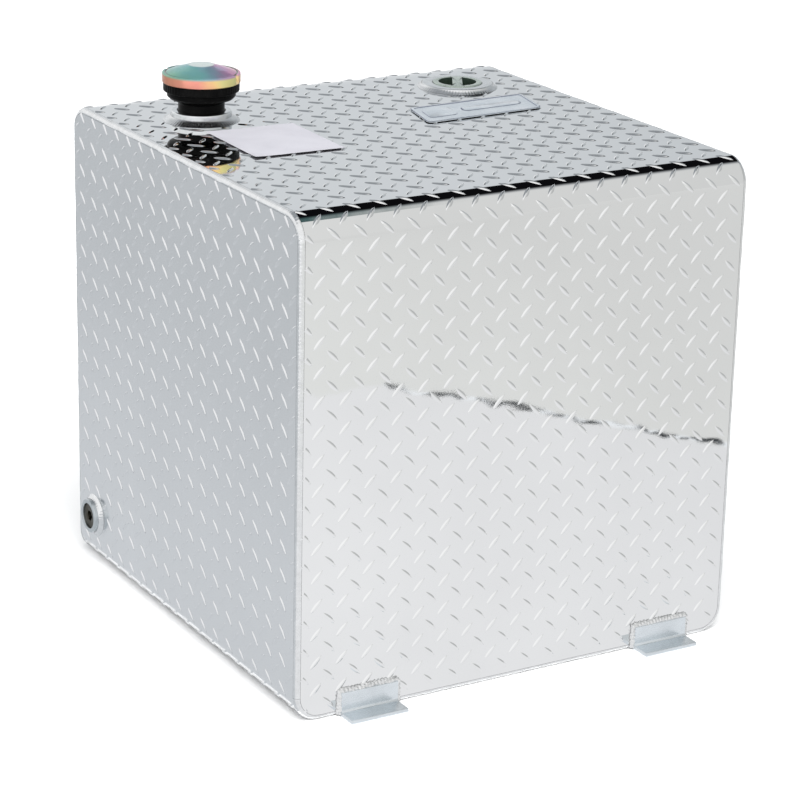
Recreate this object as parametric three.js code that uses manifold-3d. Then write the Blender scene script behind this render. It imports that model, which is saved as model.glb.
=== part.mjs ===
// A cube-shaped liquid transfer tank of aluminium tread plate, with a vented filler cap, a pump bung,
// a drain and four mounting feet. Millimetres, +Z up, front towards -Y.
// Origin: the centre of the tank's underside.

import * as THREE from 'three';
import { mergeVertices } from 'three/addons/utils/BufferGeometryUtils.js';
import Module from 'manifold-3d';

const wasm = await Module();
wasm.setup();

// ---------------------------------------------------------------- driving dimensions

const TANK = 609.6; // outside width, depth and height of the plate box, 24 in
const HALF = TANK / 2;
const SHEET = 3.2; // plate thickness, 1/8 in
const BEND = 32; // outside radius of the four folded edges
const SETBACK = 6.5; // from a plate's cut edge to the outer plane of the plate it is welded to
const GAP = 0.3; // clearance between pieces that touch

const BAFFLE = {
  cornerCut: 42, // chamfer that clears the bends and lets the liquid through
  slotWidth: 3.8,
  holeRadius: 62,
  holeOffset: 148,
};

// The filler: a weld flange with a 2 in pipe thread.
const FILLER = {
  x: -195.5,
  y: 158,
  flangeRadius: 38,
  flangeHeight: 12.6,
  edgeChamfer: 1.8,
  boreRadius: 30.4,
  spigotRadius: 33.6,
  spigotDepth: 9,
  weldRadius: 48,
  weldHeight: 6,
};

// The vented cap and its base. Heights are above the weld flange's top face.
const CAP = {
  tangAngle: -50, // degrees about Z: the line through the two tangs and the two rim notches
  shankRadius: 30,
  shankDepth: 18,
  boreRadius: 25.5,
  neckRadius: 29,
  neckHeight: 10.5,
  cupRadius: 42.8,
  cupHeight: 18,
  baseTop: 24.2,
  lipRadius: 31.5,
  lipBottom: 20.4,
  pocketRadius: 36,
  pocketFloor: 16.5,
  coreRadius: 28,
  coreBoreRadius: 22,
  coreBottom: 17,
  tangReach: 34,
  tangWidth: 17,
  tangThickness: 3,
  gasketBottom: 24.5,
  gasketThickness: 3,
  gasketInner: 32.5,
  gasketOuter: 42,
  skirtRadius: 47.4,
  skirtWall: 3.6,
  skirtBottom: 25,
  skirtTop: 35.1,
  webTop: 31.5,
  ventHoleRadius: 6,
  coverRadius: 48.7,
  coverBottom: 35.5,
  coverShoulder: 46.6,
  coverTop: 57,
  coverFlatRadius: 16.6,
  coverSheet: 1.4,
  notchWidth: 8,
  notchDepth: 3.4,
};

// The pressure vent inside the cap.
const VENT = {
  discRadius: 9.5,
  discThickness: 1.8,
  stemRadius: 2.4,
  stemDown: 7,
  guideUp: 4,
  cageRadius: 12.2,
  cageWall: 1.4,
  cageHeight: 15,
  cageHole: 3.6,
  windowWidth: 7,
  windowHeight: 6,
  springRadius: 6.6,
  wireRadius: 0.6,
  springTurns: 5,
};

// The pump bung: a low weld flange closed by a 2 in screw plug.
const BUNG = {
  x: 194,
  y: 186,
  flangeRadius: 47,
  flangeHeight: 5.6,
  edgeChamfer: 2,
  boreRadius: 30.1,
  counterboreRadius: 33,
  counterboreFloor: 2,
  spigotRadius: 36,
  spigotDepth: 11,
  weldRadius: 53,
  weldHeight: 4.5,
  gasketThickness: 1.7,
  headRadius: 32.2,
  headTop: 6.6,
  shankRadius: 29.5,
  shankDepth: 11,
  pocketRadius: 25,
  pocketDepth: 11,
  barHalfWidth: 6.5,
  barAngle: 30, // degrees about Z, from +Y: where the plug's bar points when it is tight
  rimChamfer: 1,
};

// The drain: a 1 in coupling low on the left side, closed by a recessed screw plug.
const DRAIN = {
  y: 253,
  z: 69,
  outerRadius: 22.2,
  reach: 10,
  inside: 18,
  mouthChamfer: 1.2,
  counterboreRadius: 16.8,
  counterboreDepth: 9,
  boreRadius: 14.2,
  weldRadius: 28,
  weldHeight: 5,
  gasketThickness: 1.5,
  headRadius: 16.4,
  headThickness: 4.4,
  shankRadius: 13.8,
  shankLength: 12,
  socketFlats: 12.7,
  socketDepth: 9,
};

// The feet: angle brackets welded low on the front and back plates.
const FOOT = {
  x: 208,
  width: 76,
  height: 30,
  reach: 30,
  thickness: 5,
  weldLeg: 4.8,
};

const LABEL = { x: -166, y: 19, width: 119, depth: 140, angle: -1.5, thickness: 0.5 };
const BADGE = { x: 146, y: 62, width: 177, depth: 78, corner: 9, slant: 0.3, angle: 4, thickness: 1.2 };

const ARC_STEPS = 8; // facets in each quarter turn of the folded edges
const ROUND_STEPS = 32; // facets around a fitting

// ---------------------------------------------------------------- materials

function material(color, roughness, metalness) {
  return new THREE.MeshStandardMaterial({ color, roughness, metalness });
}

const treadPlate = () => material(0xd4d6d8, 0.24, 1.0);
const weldMetal = () => material(0xe2e4e6, 0.34, 1.0);
const machinedAluminium = () => material(0xc4c9cc, 0.3, 1.0);
const millAluminium = () => material(0xb4b8bb, 0.45, 1.0);
const blackEnamel = () => material(0x0b0b0c, 0.32, 0.0);
const blackRubber = () => material(0x141414, 0.85, 0.0);
const plating = () => material(0x9c7a5a, 0.22, 1.0);
const springSteel = () => material(0x9a9a9a, 0.35, 1.0);
const plugMetal = () => material(0xa3a89c, 0.36, 1.0);
const darkPlug = () => material(0x2a2926, 0.45, 1.0);
const paper = () => material(0xf1eff2, 0.75, 0.0);
const badgeFilm = () => material(0xaab0bd, 0.3, 0.6);

// ---------------------------------------------------------------- solids

// A closed solid from a three.js geometry: vertices are shared, collapsed facets dropped, faces turned out.
function solid(geometry) {
  const bare = geometry.clone();
  bare.deleteAttribute('normal');
  bare.deleteAttribute('uv');
  const shared = mergeVertices(bare, 1e-4);
  const points = shared.attributes.position.array;
  const corners = shared.index.array;
  const kept = [];
  let volume = 0;
  for (let i = 0; i < corners.length; i += 3) {
    const [a, b, c] = corners.slice(i, i + 3);
    if (a === b || b === c || c === a) continue;
    kept.push(a, b, c);
    const [pa, pb, pc] = [a, b, c].map((n) => new THREE.Vector3().fromArray(points, 3 * n));
    volume += pa.dot(pb.cross(pc));
  }
  if (volume < 0) kept.reverse();
  return new wasm.Manifold(
    new wasm.Mesh({
      numProp: 3,
      vertProperties: Float32Array.from(points),
      triVerts: Uint32Array.from(kept),
    }),
  );
}

function named(name, shape, look) {
  const { vertProperties, triVerts } = shape.getMesh();
  const geometry = new THREE.BufferGeometry();
  geometry.setAttribute('position', new THREE.BufferAttribute(vertProperties, 3));
  geometry.setIndex(new THREE.BufferAttribute(triVerts, 1));
  geometry.computeVertexNormals();
  const mesh = new THREE.Mesh(geometry, look);
  mesh.name = name;
  return mesh;
}

// A solid of revolution about Z from [radius, height] points; a ring's profile closes on itself.
function turned(profile, steps = ROUND_STEPS) {
  const points = profile.map(([radius, height]) => new THREE.Vector2(radius, height));
  const onAxis = points[0].x === 0 && points[points.length - 1].x === 0;
  if (!onAxis) points.push(points[0].clone());
  return solid(new THREE.LatheGeometry(points, steps).rotateX(Math.PI / 2));
}

function box(width, depth, height, x, y, z) {
  return solid(new THREE.BoxGeometry(width, depth, height).translate(x, y, z));
}

function cylinder(radius, low, high, steps = ROUND_STEPS) {
  const body = new THREE.CylinderGeometry(radius, radius, high - low, steps).rotateX(Math.PI / 2);
  return solid(body.translate(0, 0, (low + high) / 2));
}

// An outline drawn in the plane of two axes, extruded both ways along the third.
function plateAlong(across, up, shape, depth) {
  const along = new THREE.Vector3().crossVectors(across, up);
  const body = new THREE.ExtrudeGeometry(shape, {
    depth,
    bevelEnabled: false,
    curveSegments: ARC_STEPS,
  });
  body.translate(0, 0, -depth / 2);
  return solid(body.applyMatrix4(new THREE.Matrix4().makeBasis(across, up, along)));
}

// A solid with one cross-section carried through stations; each station's u and v hold the section's axes.
function swept(section, stations) {
  const outline = section.map(([a, b]) => new THREE.Vector2(a, b));
  if (THREE.ShapeUtils.isClockWise(outline)) outline.reverse();
  const count = outline.length;
  const positions = [];
  for (const { at, u, v } of stations) {
    for (const point of outline) {
      positions.push(...at.clone().addScaledVector(u, point.x).addScaledVector(v, point.y).toArray());
    }
  }
  const faces = [];
  for (let s = 0; s + 1 < stations.length; s++) {
    for (let i = 0; i < count; i++) {
      const here = s * count + i;
      const next = s * count + ((i + 1) % count);
      faces.push(here, next, here + count, next, next + count, here + count);
    }
  }
  const last = (stations.length - 1) * count;
  for (const [a, b, c] of THREE.ShapeUtils.triangulateShape(outline, [])) {
    faces.push(c, b, a, last + a, last + b, last + c);
  }
  const geometry = new THREE.BufferGeometry();
  geometry.setAttribute('position', new THREE.Float32BufferAttribute(positions, 3));
  geometry.setIndex(faces);
  return solid(geometry);
}

const X = new THREE.Vector3(1, 0, 0);
const Y = new THREE.Vector3(0, 1, 0);
const Z = new THREE.Vector3(0, 0, 1);

// ---------------------------------------------------------------- plate box

// An upright U in the plane of one horizontal axis and Z: two walls and a floor with bends between.
function upright(open) {
  const inner = BEND - SHEET;
  const shape = new THREE.Shape();
  shape.moveTo(-HALF, open);
  shape.lineTo(-HALF, BEND);
  shape.absarc(-HALF + BEND, BEND, BEND, Math.PI, 1.5 * Math.PI);
  shape.absarc(HALF - BEND, BEND, BEND, 1.5 * Math.PI, 2 * Math.PI);
  shape.lineTo(HALF, open);
  shape.lineTo(HALF - SHEET, open);
  shape.lineTo(HALF - SHEET, BEND);
  shape.absarc(HALF - BEND, BEND, inner, 2 * Math.PI, 1.5 * Math.PI, true);
  shape.absarc(-HALF + BEND, BEND, inner, 1.5 * Math.PI, Math.PI, true);
  shape.lineTo(-HALF + SHEET, open);
  shape.closePath();
  return shape;
}

// The outline of the cut walls: straight sides and rounded corners at the closed end.
function wallOutline() {
  const side = HALF - SETBACK;
  const radius = BEND - SETBACK;
  const shape = new THREE.Shape();
  shape.moveTo(-side, -1);
  shape.lineTo(side, -1);
  shape.lineTo(side, TANK - SETBACK - radius);
  shape.absarc(side - radius, TANK - SETBACK - radius, radius, 0, Math.PI / 2);
  shape.absarc(-side + radius, TANK - SETBACK - radius, radius, Math.PI / 2, Math.PI);
  shape.closePath();
  return shape;
}

// The lower sheet is the left wall, the floor and the right wall; its bends run front to back.
function lowerSheet() {
  const fold = plateAlong(X, Z, upright(TANK), TANK);
  const outline = plateAlong(Y, Z, wallOutline(), TANK + 2);
  const drainHole = solid(
    new THREE.CylinderGeometry(DRAIN.outerRadius + GAP, DRAIN.outerRadius + GAP, 40, ROUND_STEPS)
      .rotateZ(Math.PI / 2)
      .translate(-HALF, DRAIN.y, DRAIN.z),
  );
  return fold.intersect(outline).subtract(drainHole);
}

// The upper sheet is the same fold turned upside down and a quarter turn: front, top and back.
function upperSheet() {
  const fold = plateAlong(Y, Z, upright(TANK), TANK);
  const outline = plateAlong(X, Z, wallOutline(), TANK + 2);
  const fillerHole = cylinder(FILLER.spigotRadius + GAP, TANK - 20, TANK + 20);
  const bungHole = cylinder(BUNG.spigotRadius + GAP, TANK - 20, TANK + 20);
  return fold
    .intersect(outline)
    .rotate([180, 0, 0])
    .translate([0, 0, TANK])
    .subtract(fillerHole.translate([FILLER.x, FILLER.y, 0]))
    .subtract(bungHole.translate([BUNG.x, BUNG.y, 0]));
}

// The bead's section: a quarter round outside, straight faces against both cut edges, open to the inside.
function beadSection() {
  const reach = SETBACK - GAP;
  const points = [
    [-reach, -SHEET],
    [-reach, 0],
  ];
  for (let i = 1; i < 6; i++) {
    const turn = (Math.PI / 2) * (1 - i / 6);
    points.push([reach * (Math.cos(turn) - 1), reach * (Math.sin(turn) - 1)]);
  }
  points.push([0, -reach], [-SHEET, -reach]);
  return points;
}

// A seam runs along one side's plane, round both of its corners: wall, arc, closed edge, arc, wall.
// side is that plane's outward normal; out is the first wall's normal, end is the closed edge's normal.
function seamBead(side, out, end, wallLength) {
  const centre = new THREE.Vector3(0, 0, HALF).addScaledVector(side, HALF);
  const station = (normal, along, distance) => ({
    at: centre.clone().addScaledVector(normal, HALF).addScaledVector(along, distance),
    u: side,
    v: normal.clone(),
  });
  const corner = (from, to) => {
    const hub = centre.clone().addScaledVector(from, HALF - BEND).addScaledVector(to, HALF - BEND);
    const turns = [];
    for (let i = 0; i <= ARC_STEPS; i++) {
      const angle = (Math.PI / 2) * (i / ARC_STEPS);
      const radial = from.clone().multiplyScalar(Math.cos(angle)).addScaledVector(to, Math.sin(angle));
      turns.push({ at: hub.clone().addScaledVector(radial, BEND), u: side, v: radial });
    }
    return turns;
  };
  const back = out.clone().negate();
  const foot = HALF - BEND - wallLength;
  const stations = [
    station(out, end, foot),
    ...corner(out, end),
    ...corner(end, back),
    station(back, end, foot),
  ];
  return swept(beadSection(), stations);
}

function plateBox() {
  const group = new THREE.Group();
  const up = Z.clone();
  const down = Z.clone().negate();
  const left = X.clone().negate();
  const front = Y.clone().negate();
  const wall = TANK - 2 * BEND - GAP;
  group.add(named('shell_upper', upperSheet(), treadPlate()));
  group.add(named('shell_lower', lowerSheet(), treadPlate()));
  group.add(named('seam_weld_left', seamBead(left, front, up, wall), weldMetal()));
  group.add(named('seam_weld_right', seamBead(X, front, up, wall), weldMetal()));
  group.add(named('seam_weld_front', seamBead(front, left, down, 0.01), weldMetal()));
  group.add(named('seam_weld_back', seamBead(Y, left, down, 0.01), weldMetal()));
  return group;
}

// ---------------------------------------------------------------- baffles

// A plate across the inside with cut corners, four surge holes and a half-lap slot from its top or bottom.
function bafflePlate(slotFromTop) {
  const reach = HALF - SHEET - GAP;
  const low = SHEET + GAP;
  const high = TANK - low;
  const cut = BAFFLE.cornerCut;
  const halfSlot = BAFFLE.slotWidth / 2;
  const shape = new THREE.Shape();
  shape.moveTo(-reach + cut, low);
  if (!slotFromTop) {
    shape.lineTo(-halfSlot, low);
    shape.lineTo(-halfSlot, HALF + GAP);
    shape.lineTo(halfSlot, HALF + GAP);
    shape.lineTo(halfSlot, low);
  }
  shape.lineTo(reach - cut, low);
  shape.lineTo(reach, low + cut);
  shape.lineTo(reach, high - cut);
  shape.lineTo(reach - cut, high);
  if (slotFromTop) {
    shape.lineTo(halfSlot, high);
    shape.lineTo(halfSlot, HALF - GAP);
    shape.lineTo(-halfSlot, HALF - GAP);
    shape.lineTo(-halfSlot, high);
  }
  shape.lineTo(-reach + cut, high);
  shape.lineTo(-reach, high - cut);
  shape.lineTo(-reach, low + cut);
  shape.closePath();
  for (const x of [-BAFFLE.holeOffset, BAFFLE.holeOffset]) {
    for (const z of [HALF - BAFFLE.holeOffset, HALF + BAFFLE.holeOffset]) {
      const hole = new THREE.Path();
      hole.absarc(x, z, BAFFLE.holeRadius, 0, 2 * Math.PI);
      shape.holes.push(hole);
    }
  }
  return shape;
}

function baffles() {
  const group = new THREE.Group();
  group.add(named('baffle_lengthwise', plateAlong(Y, Z, bafflePlate(true), SHEET), millAluminium()));
  group.add(named('baffle_crosswise', plateAlong(X, Z, bafflePlate(false), SHEET), millAluminium()));
  return group;
}

// ---------------------------------------------------------------- fittings

// A weld fillet around a round fitting: concave from the plate to the fitting's wall.
function filletRing(inner, outer, height) {
  const wide = outer - inner - GAP;
  const foot = inner + GAP;
  return turned([
    [foot, GAP],
    [outer, GAP],
    [foot + 0.55 * wide, GAP + 0.32 * height],
    [foot + 0.22 * wide, GAP + 0.66 * height],
    [foot, height],
  ]);
}

function fillerFlange() {
  const f = FILLER;
  return turned([
    [f.boreRadius, -f.spigotDepth],
    [f.spigotRadius, -f.spigotDepth],
    [f.spigotRadius, GAP],
    [f.flangeRadius, GAP],
    [f.flangeRadius, f.flangeHeight - f.edgeChamfer],
    [f.flangeRadius - f.edgeChamfer, f.flangeHeight],
    [f.boreRadius, f.flangeHeight],
  ]);
}

// The cap's base: a pipe shank, a neck that flares to a cup, and a lip that the tangs turn under.
function capBase() {
  const c = CAP;
  const flare = c.cupRadius - c.neckRadius;
  const rise = c.cupHeight - c.neckHeight;
  const body = turned([
    [c.boreRadius, -c.shankDepth],
    [c.shankRadius, -c.shankDepth],
    [c.shankRadius, -GAP],
    [c.neckRadius, 1],
    [c.neckRadius, c.neckHeight],
    [c.neckRadius + 0.12 * flare, c.neckHeight + 0.16 * rise],
    [c.neckRadius + 0.5 * flare, c.neckHeight + 0.42 * rise],
    [c.neckRadius + 0.88 * flare, c.neckHeight + 0.68 * rise],
    [c.cupRadius, c.cupHeight],
    [c.cupRadius, c.baseTop - 0.6],
    [c.cupRadius - 0.6, c.baseTop],
    [c.lipRadius, c.baseTop],
    [c.lipRadius, c.lipBottom],
    [c.pocketRadius, c.lipBottom],
    [c.pocketRadius, c.pocketFloor],
    [c.boreRadius, c.pocketFloor],
  ]);
  const wayIn = box(2 * c.pocketRadius, c.tangWidth + 4, 6, 0, 0, c.lipBottom + 2.5);
  return body.subtract(wayIn.rotate([0, 0, c.tangAngle]));
}

// The cap's body: a skirt, a web with the vent hole, and a core tube with two tangs.
function capBody() {
  const c = CAP;
  const webBottom = c.gasketBottom + c.gasketThickness + GAP;
  const skirtInner = c.skirtRadius - c.skirtWall;
  const body = turned([
    [c.coreBoreRadius, c.coreBottom],
    [c.coreRadius, c.coreBottom],
    [c.coreRadius, webBottom],
    [skirtInner, webBottom],
    [skirtInner, c.skirtBottom],
    [c.skirtRadius - 0.5, c.skirtBottom],
    [c.skirtRadius, c.skirtBottom + 0.5],
    [c.skirtRadius, c.skirtTop],
    [skirtInner, c.skirtTop],
    [skirtInner, c.webTop],
    [c.ventHoleRadius, c.webTop],
    [c.ventHoleRadius, webBottom],
    [c.coreBoreRadius, webBottom],
  ]);
  const middle = c.coreBottom + c.tangThickness / 2;
  const bar = box(2 * c.tangReach, c.tangWidth, c.tangThickness, 0, 0, middle);
  const tangs = bar.subtract(cylinder(c.coreRadius - 1, 0, c.webTop));
  return body.add(tangs.rotate([0, 0, c.tangAngle]));
}

// The pressed cover: a flat centre, a shallow dome, a groove, a rounded shoulder and a straight rim.
function capCover() {
  const c = CAP;
  const t = c.coverSheet;
  const shoulder = 2.4;
  const slope = c.coverTop - c.coverShoulder - 1;
  const groove = c.coverRadius - 4.6;
  const outer = [
    [0, c.coverTop],
    [c.coverFlatRadius, c.coverTop],
    [c.coverFlatRadius + 1.6, c.coverTop - 1],
    [0.62 * c.coverRadius, c.coverTop - 0.46 * slope],
    [groove, c.coverTop - slope],
    [groove + 1.1, c.coverShoulder + 0.6],
  ];
  for (let i = 0; i <= 4; i++) {
    const turn = (Math.PI / 2) * (1 - i / 4);
    const radius = c.coverRadius + shoulder * (Math.cos(turn) - 1);
    outer.push([radius, c.coverShoulder + shoulder * (Math.sin(turn) - 1) + 1]);
  }
  outer.push([c.coverRadius, c.coverBottom + 1], [c.coverRadius - 0.8, c.coverBottom]);
  const inner = [
    [c.coverRadius - t - 0.2, c.coverBottom],
    [c.coverRadius - t, c.coverBottom + 1],
    [c.coverRadius - t, c.coverShoulder - 2],
    [groove, c.coverShoulder - 0.8],
    [0.62 * c.coverRadius, c.coverTop - 0.46 * slope - t],
    [c.coverFlatRadius, c.coverTop - t - 0.6],
    [0, c.coverTop - t - 0.6],
  ];
  let cover = turned([...outer, ...inner]);
  for (const side of [-1, 1]) {
    const reach = c.coverRadius - c.notchDepth / 2 + 1;
    const height = c.coverShoulder - 1;
    const notch = box(c.notchDepth + 2, c.notchWidth, 9, side * reach, 0, height);
    cover = cover.subtract(notch.rotate([0, 0, c.tangAngle]));
  }
  return cover;
}

function ventPoppet() {
  const seat = CAP.webTop + GAP;
  const top = seat + VENT.discThickness;
  return turned([
    [0, seat - VENT.stemDown],
    [VENT.stemRadius, seat - VENT.stemDown],
    [VENT.stemRadius, seat],
    [VENT.discRadius, seat],
    [VENT.discRadius, top],
    [VENT.stemRadius, top],
    [VENT.stemRadius, top + VENT.guideUp],
    [0, top + VENT.guideUp],
  ], 32);
}

function ventCage() {
  const low = CAP.webTop + GAP;
  const high = low + VENT.cageHeight;
  const inner = VENT.cageRadius - VENT.cageWall;
  let cage = turned([
    [inner, low],
    [VENT.cageRadius, low],
    [VENT.cageRadius, high],
    [VENT.cageHole, high],
    [VENT.cageHole, high - VENT.cageWall],
    [inner, high - VENT.cageWall],
  ], 32);
  for (const turn of [0, 90]) {
    const window = box(4 * VENT.cageRadius, VENT.windowWidth, VENT.windowHeight, 0, 0, (low + high) / 2);
    cage = cage.subtract(window.rotate([0, 0, turn]));
  }
  return cage;
}

class Helix extends THREE.Curve {
  constructor(radius, low, high, turns) {
    super();
    Object.assign(this, { radius, low, high, turns });
  }

  getPoint(t, target = new THREE.Vector3()) {
    const angle = 2 * Math.PI * this.turns * t;
    const height = this.low + (this.high - this.low) * t;
    return target.set(this.radius * Math.cos(angle), this.radius * Math.sin(angle), height);
  }
}

function ventSpring() {
  const low = CAP.webTop + 2 * GAP + VENT.discThickness + VENT.wireRadius;
  const high = CAP.webTop + VENT.cageHeight - VENT.cageWall - VENT.wireRadius;
  const wire = new THREE.Shape();
  wire.absarc(0, 0, VENT.wireRadius, 0, 2 * Math.PI);
  const coil = new THREE.ExtrudeGeometry(wire, {
    steps: VENT.springTurns * 12,
    curveSegments: 3,
    extrudePath: new Helix(VENT.springRadius, low, high, VENT.springTurns),
  });
  return solid(coil);
}

function filler() {
  const group = new THREE.Group();
  group.position.set(FILLER.x, FILLER.y, TANK);
  const weld = filletRing(FILLER.flangeRadius, FILLER.weldRadius, FILLER.weldHeight);
  group.add(named('filler_flange', fillerFlange(), machinedAluminium()));
  group.add(named('filler_weld', weld, weldMetal()));
  const cap = new THREE.Group();
  cap.position.z = FILLER.flangeHeight;
  const gasket = turned([
    [CAP.gasketInner, CAP.gasketBottom],
    [CAP.gasketOuter, CAP.gasketBottom],
    [CAP.gasketOuter, CAP.gasketBottom + CAP.gasketThickness],
    [CAP.gasketInner, CAP.gasketBottom + CAP.gasketThickness],
  ]);
  cap.add(named('cap_base', capBase(), blackEnamel()));
  cap.add(named('cap_gasket', gasket, blackRubber()));
  cap.add(named('cap_body', capBody(), blackEnamel()));
  cap.add(named('cap_cover', capCover(), plating()));
  cap.add(named('vent_cage', ventCage(), springSteel()));
  cap.add(named('vent_poppet', ventPoppet(), blackRubber()));
  cap.add(named('vent_spring', ventSpring(), springSteel()));
  group.add(cap);
  return group;
}

function bungFlange() {
  const b = BUNG;
  return turned([
    [b.boreRadius, -b.spigotDepth],
    [b.spigotRadius, -b.spigotDepth],
    [b.spigotRadius, GAP],
    [b.flangeRadius, GAP],
    [b.flangeRadius, b.flangeHeight - b.edgeChamfer],
    [b.flangeRadius - b.edgeChamfer, b.flangeHeight],
    [b.counterboreRadius, b.flangeHeight],
    [b.counterboreRadius, b.counterboreFloor],
    [b.boreRadius, b.counterboreFloor],
  ]);
}

// A D-shaped wrench pocket in the plug's head, beside the bar that crosses it.
function wrenchPocket(side) {
  const half = Math.acos(BUNG.barHalfWidth / BUNG.pocketRadius);
  const shape = new THREE.Shape();
  shape.absarc(0, 0, BUNG.pocketRadius, -half, half);
  shape.closePath();
  const pocket = new THREE.ExtrudeGeometry(shape, {
    depth: BUNG.pocketDepth + 5,
    bevelEnabled: false,
    curveSegments: 20,
  });
  pocket.translate(0, 0, BUNG.headTop - BUNG.pocketDepth);
  return solid(side < 0 ? pocket.rotateZ(Math.PI) : pocket);
}

function bungPlug() {
  const b = BUNG;
  const head = b.counterboreFloor + b.gasketThickness + 2 * GAP;
  const plug = turned([
    [0, -b.shankDepth],
    [b.shankRadius, -b.shankDepth],
    [b.shankRadius, head],
    [b.headRadius, head],
    [b.headRadius, b.headTop - b.rimChamfer],
    [b.headRadius - b.rimChamfer, b.headTop],
    [0, b.headTop],
  ]);
  return plug.subtract(wrenchPocket(-1)).subtract(wrenchPocket(1)).rotate([0, 0, -b.barAngle]);
}

function pumpBung() {
  const group = new THREE.Group();
  group.position.set(BUNG.x, BUNG.y, TANK);
  const low = BUNG.counterboreFloor + GAP;
  const gasket = turned([
    [BUNG.shankRadius + GAP, low],
    [BUNG.counterboreRadius - GAP, low],
    [BUNG.counterboreRadius - GAP, low + BUNG.gasketThickness],
    [BUNG.shankRadius + GAP, low + BUNG.gasketThickness],
  ]);
  const weld = filletRing(BUNG.flangeRadius, BUNG.weldRadius, BUNG.weldHeight);
  group.add(named('pump_flange', bungFlange(), machinedAluminium()));
  group.add(named('pump_flange_weld', weld, weldMetal()));
  group.add(named('pump_plug_gasket', gasket, blackRubber()));
  group.add(named('pump_plug', bungPlug(), plugMetal()));
  return group;
}

function drainCoupling() {
  const d = DRAIN;
  return turned([
    [d.boreRadius, -d.inside],
    [d.outerRadius, -d.inside],
    [d.outerRadius, d.reach - d.mouthChamfer],
    [d.outerRadius - d.mouthChamfer, d.reach],
    [d.counterboreRadius, d.reach],
    [d.counterboreRadius, d.reach - d.counterboreDepth],
    [d.boreRadius, d.reach - d.counterboreDepth],
  ]);
}

function drainPlug() {
  const d = DRAIN;
  const low = d.reach - d.counterboreDepth + d.gasketThickness + 2 * GAP;
  const top = low + d.headThickness;
  const plug = turned([
    [0, low - d.shankLength],
    [d.shankRadius, low - d.shankLength],
    [d.shankRadius, low],
    [d.headRadius, low],
    [d.headRadius, top - 0.6],
    [d.headRadius - 0.6, top],
    [0, top],
  ]);
  const corners = d.socketFlats / Math.sqrt(3);
  const socket = cylinder(corners, top - d.socketDepth, top + 5, 6);
  return plug.subtract(socket);
}

function drain() {
  const group = new THREE.Group();
  group.position.set(-HALF, DRAIN.y, DRAIN.z);
  group.rotation.y = -Math.PI / 2;
  const low = DRAIN.reach - DRAIN.counterboreDepth + GAP;
  const gasket = turned([
    [DRAIN.shankRadius + GAP, low],
    [DRAIN.counterboreRadius - GAP, low],
    [DRAIN.counterboreRadius - GAP, low + DRAIN.gasketThickness],
    [DRAIN.shankRadius + GAP, low + DRAIN.gasketThickness],
  ]);
  const weld = filletRing(DRAIN.outerRadius, DRAIN.weldRadius, DRAIN.weldHeight);
  group.add(named('drain_coupling', drainCoupling(), machinedAluminium()));
  group.add(named('drain_weld', weld, weldMetal()));
  group.add(named('drain_plug_gasket', gasket, blackRubber()));
  group.add(named('drain_plug', drainPlug(), darkPlug()));
  return group;
}

// ---------------------------------------------------------------- feet

// An angle bracket: one leg on the wall, one leg out along the floor. Drawn for the front wall.
function footBracket() {
  const wall = -HALF - GAP;
  const shape = new THREE.Shape();
  shape.moveTo(wall, 0);
  shape.lineTo(wall - FOOT.reach, 0);
  shape.lineTo(wall - FOOT.reach, FOOT.thickness);
  shape.lineTo(wall - FOOT.thickness, FOOT.thickness);
  shape.lineTo(wall - FOOT.thickness, FOOT.height);
  shape.lineTo(wall, FOOT.height);
  shape.closePath();
  return plateAlong(Y, Z, shape, FOOT.width);
}

// The bead up one side of the bracket's upright leg, across its top and down the other side.
function footBead() {
  const wall = -HALF - GAP;
  const edge = FOOT.width / 2;
  const leg = FOOT.weldLeg;
  const section = [
    [GAP, 0],
    [leg, 0],
    [0.62 * leg, 0.62 * leg],
    [GAP, leg],
  ];
  const out = Y.clone().negate();
  const left = X.clone().negate();
  const station = (x, z, u) => ({ at: new THREE.Vector3(x, wall, z), u, v: out });
  return swept(section, [
    station(-edge, 3, left),
    station(-edge, FOOT.height, left.clone().add(Z)),
    station(edge, FOOT.height, X.clone().add(Z)),
    station(edge, 3, X),
  ]);
}

function feet() {
  const group = new THREE.Group();
  const places = [
    { name: 'front_left', x: -FOOT.x, turn: 0 },
    { name: 'front_right', x: FOOT.x, turn: 0 },
    { name: 'back_left', x: -FOOT.x, turn: Math.PI },
    { name: 'back_right', x: FOOT.x, turn: Math.PI },
  ];
  for (const place of places) {
    const foot = new THREE.Group();
    foot.position.x = place.x;
    foot.rotation.z = place.turn;
    foot.add(named(`foot_${place.name}`, footBracket(), millAluminium()));
    foot.add(named(`foot_weld_${place.name}`, footBead(), weldMetal()));
    group.add(foot);
  }
  return group;
}

// ---------------------------------------------------------------- label and badge

function infoLabel() {
  const middle = TANK + GAP + LABEL.thickness / 2;
  return box(LABEL.width, LABEL.depth, LABEL.thickness, 0, 0, 0)
    .rotate([0, 0, LABEL.angle])
    .translate([LABEL.x, LABEL.y, middle]);
}

function badgePlate() {
  const halfWidth = BADGE.width / 2;
  const halfDepth = BADGE.depth / 2;
  const r = BADGE.corner;
  const shape = new THREE.Shape();
  shape.absarc(halfWidth - r, halfDepth - r, r, 0, Math.PI / 2);
  shape.absarc(-halfWidth + r, halfDepth - r, r, Math.PI / 2, Math.PI);
  shape.absarc(-halfWidth + r, -halfDepth + r, r, Math.PI, 1.5 * Math.PI);
  shape.absarc(halfWidth - r, -halfDepth + r, r, 1.5 * Math.PI, 2 * Math.PI);
  shape.closePath();
  const body = new THREE.ExtrudeGeometry(shape, {
    depth: BADGE.thickness,
    bevelEnabled: false,
    curveSegments: 4,
  });
  body.applyMatrix4(new THREE.Matrix4().makeShear(0, 0, BADGE.slant, 0, 0, 0));
  return solid(body)
    .rotate([0, 0, BADGE.angle])
    .translate([BADGE.x, BADGE.y, TANK + GAP]);
}

// ---------------------------------------------------------------- the tank

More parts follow.
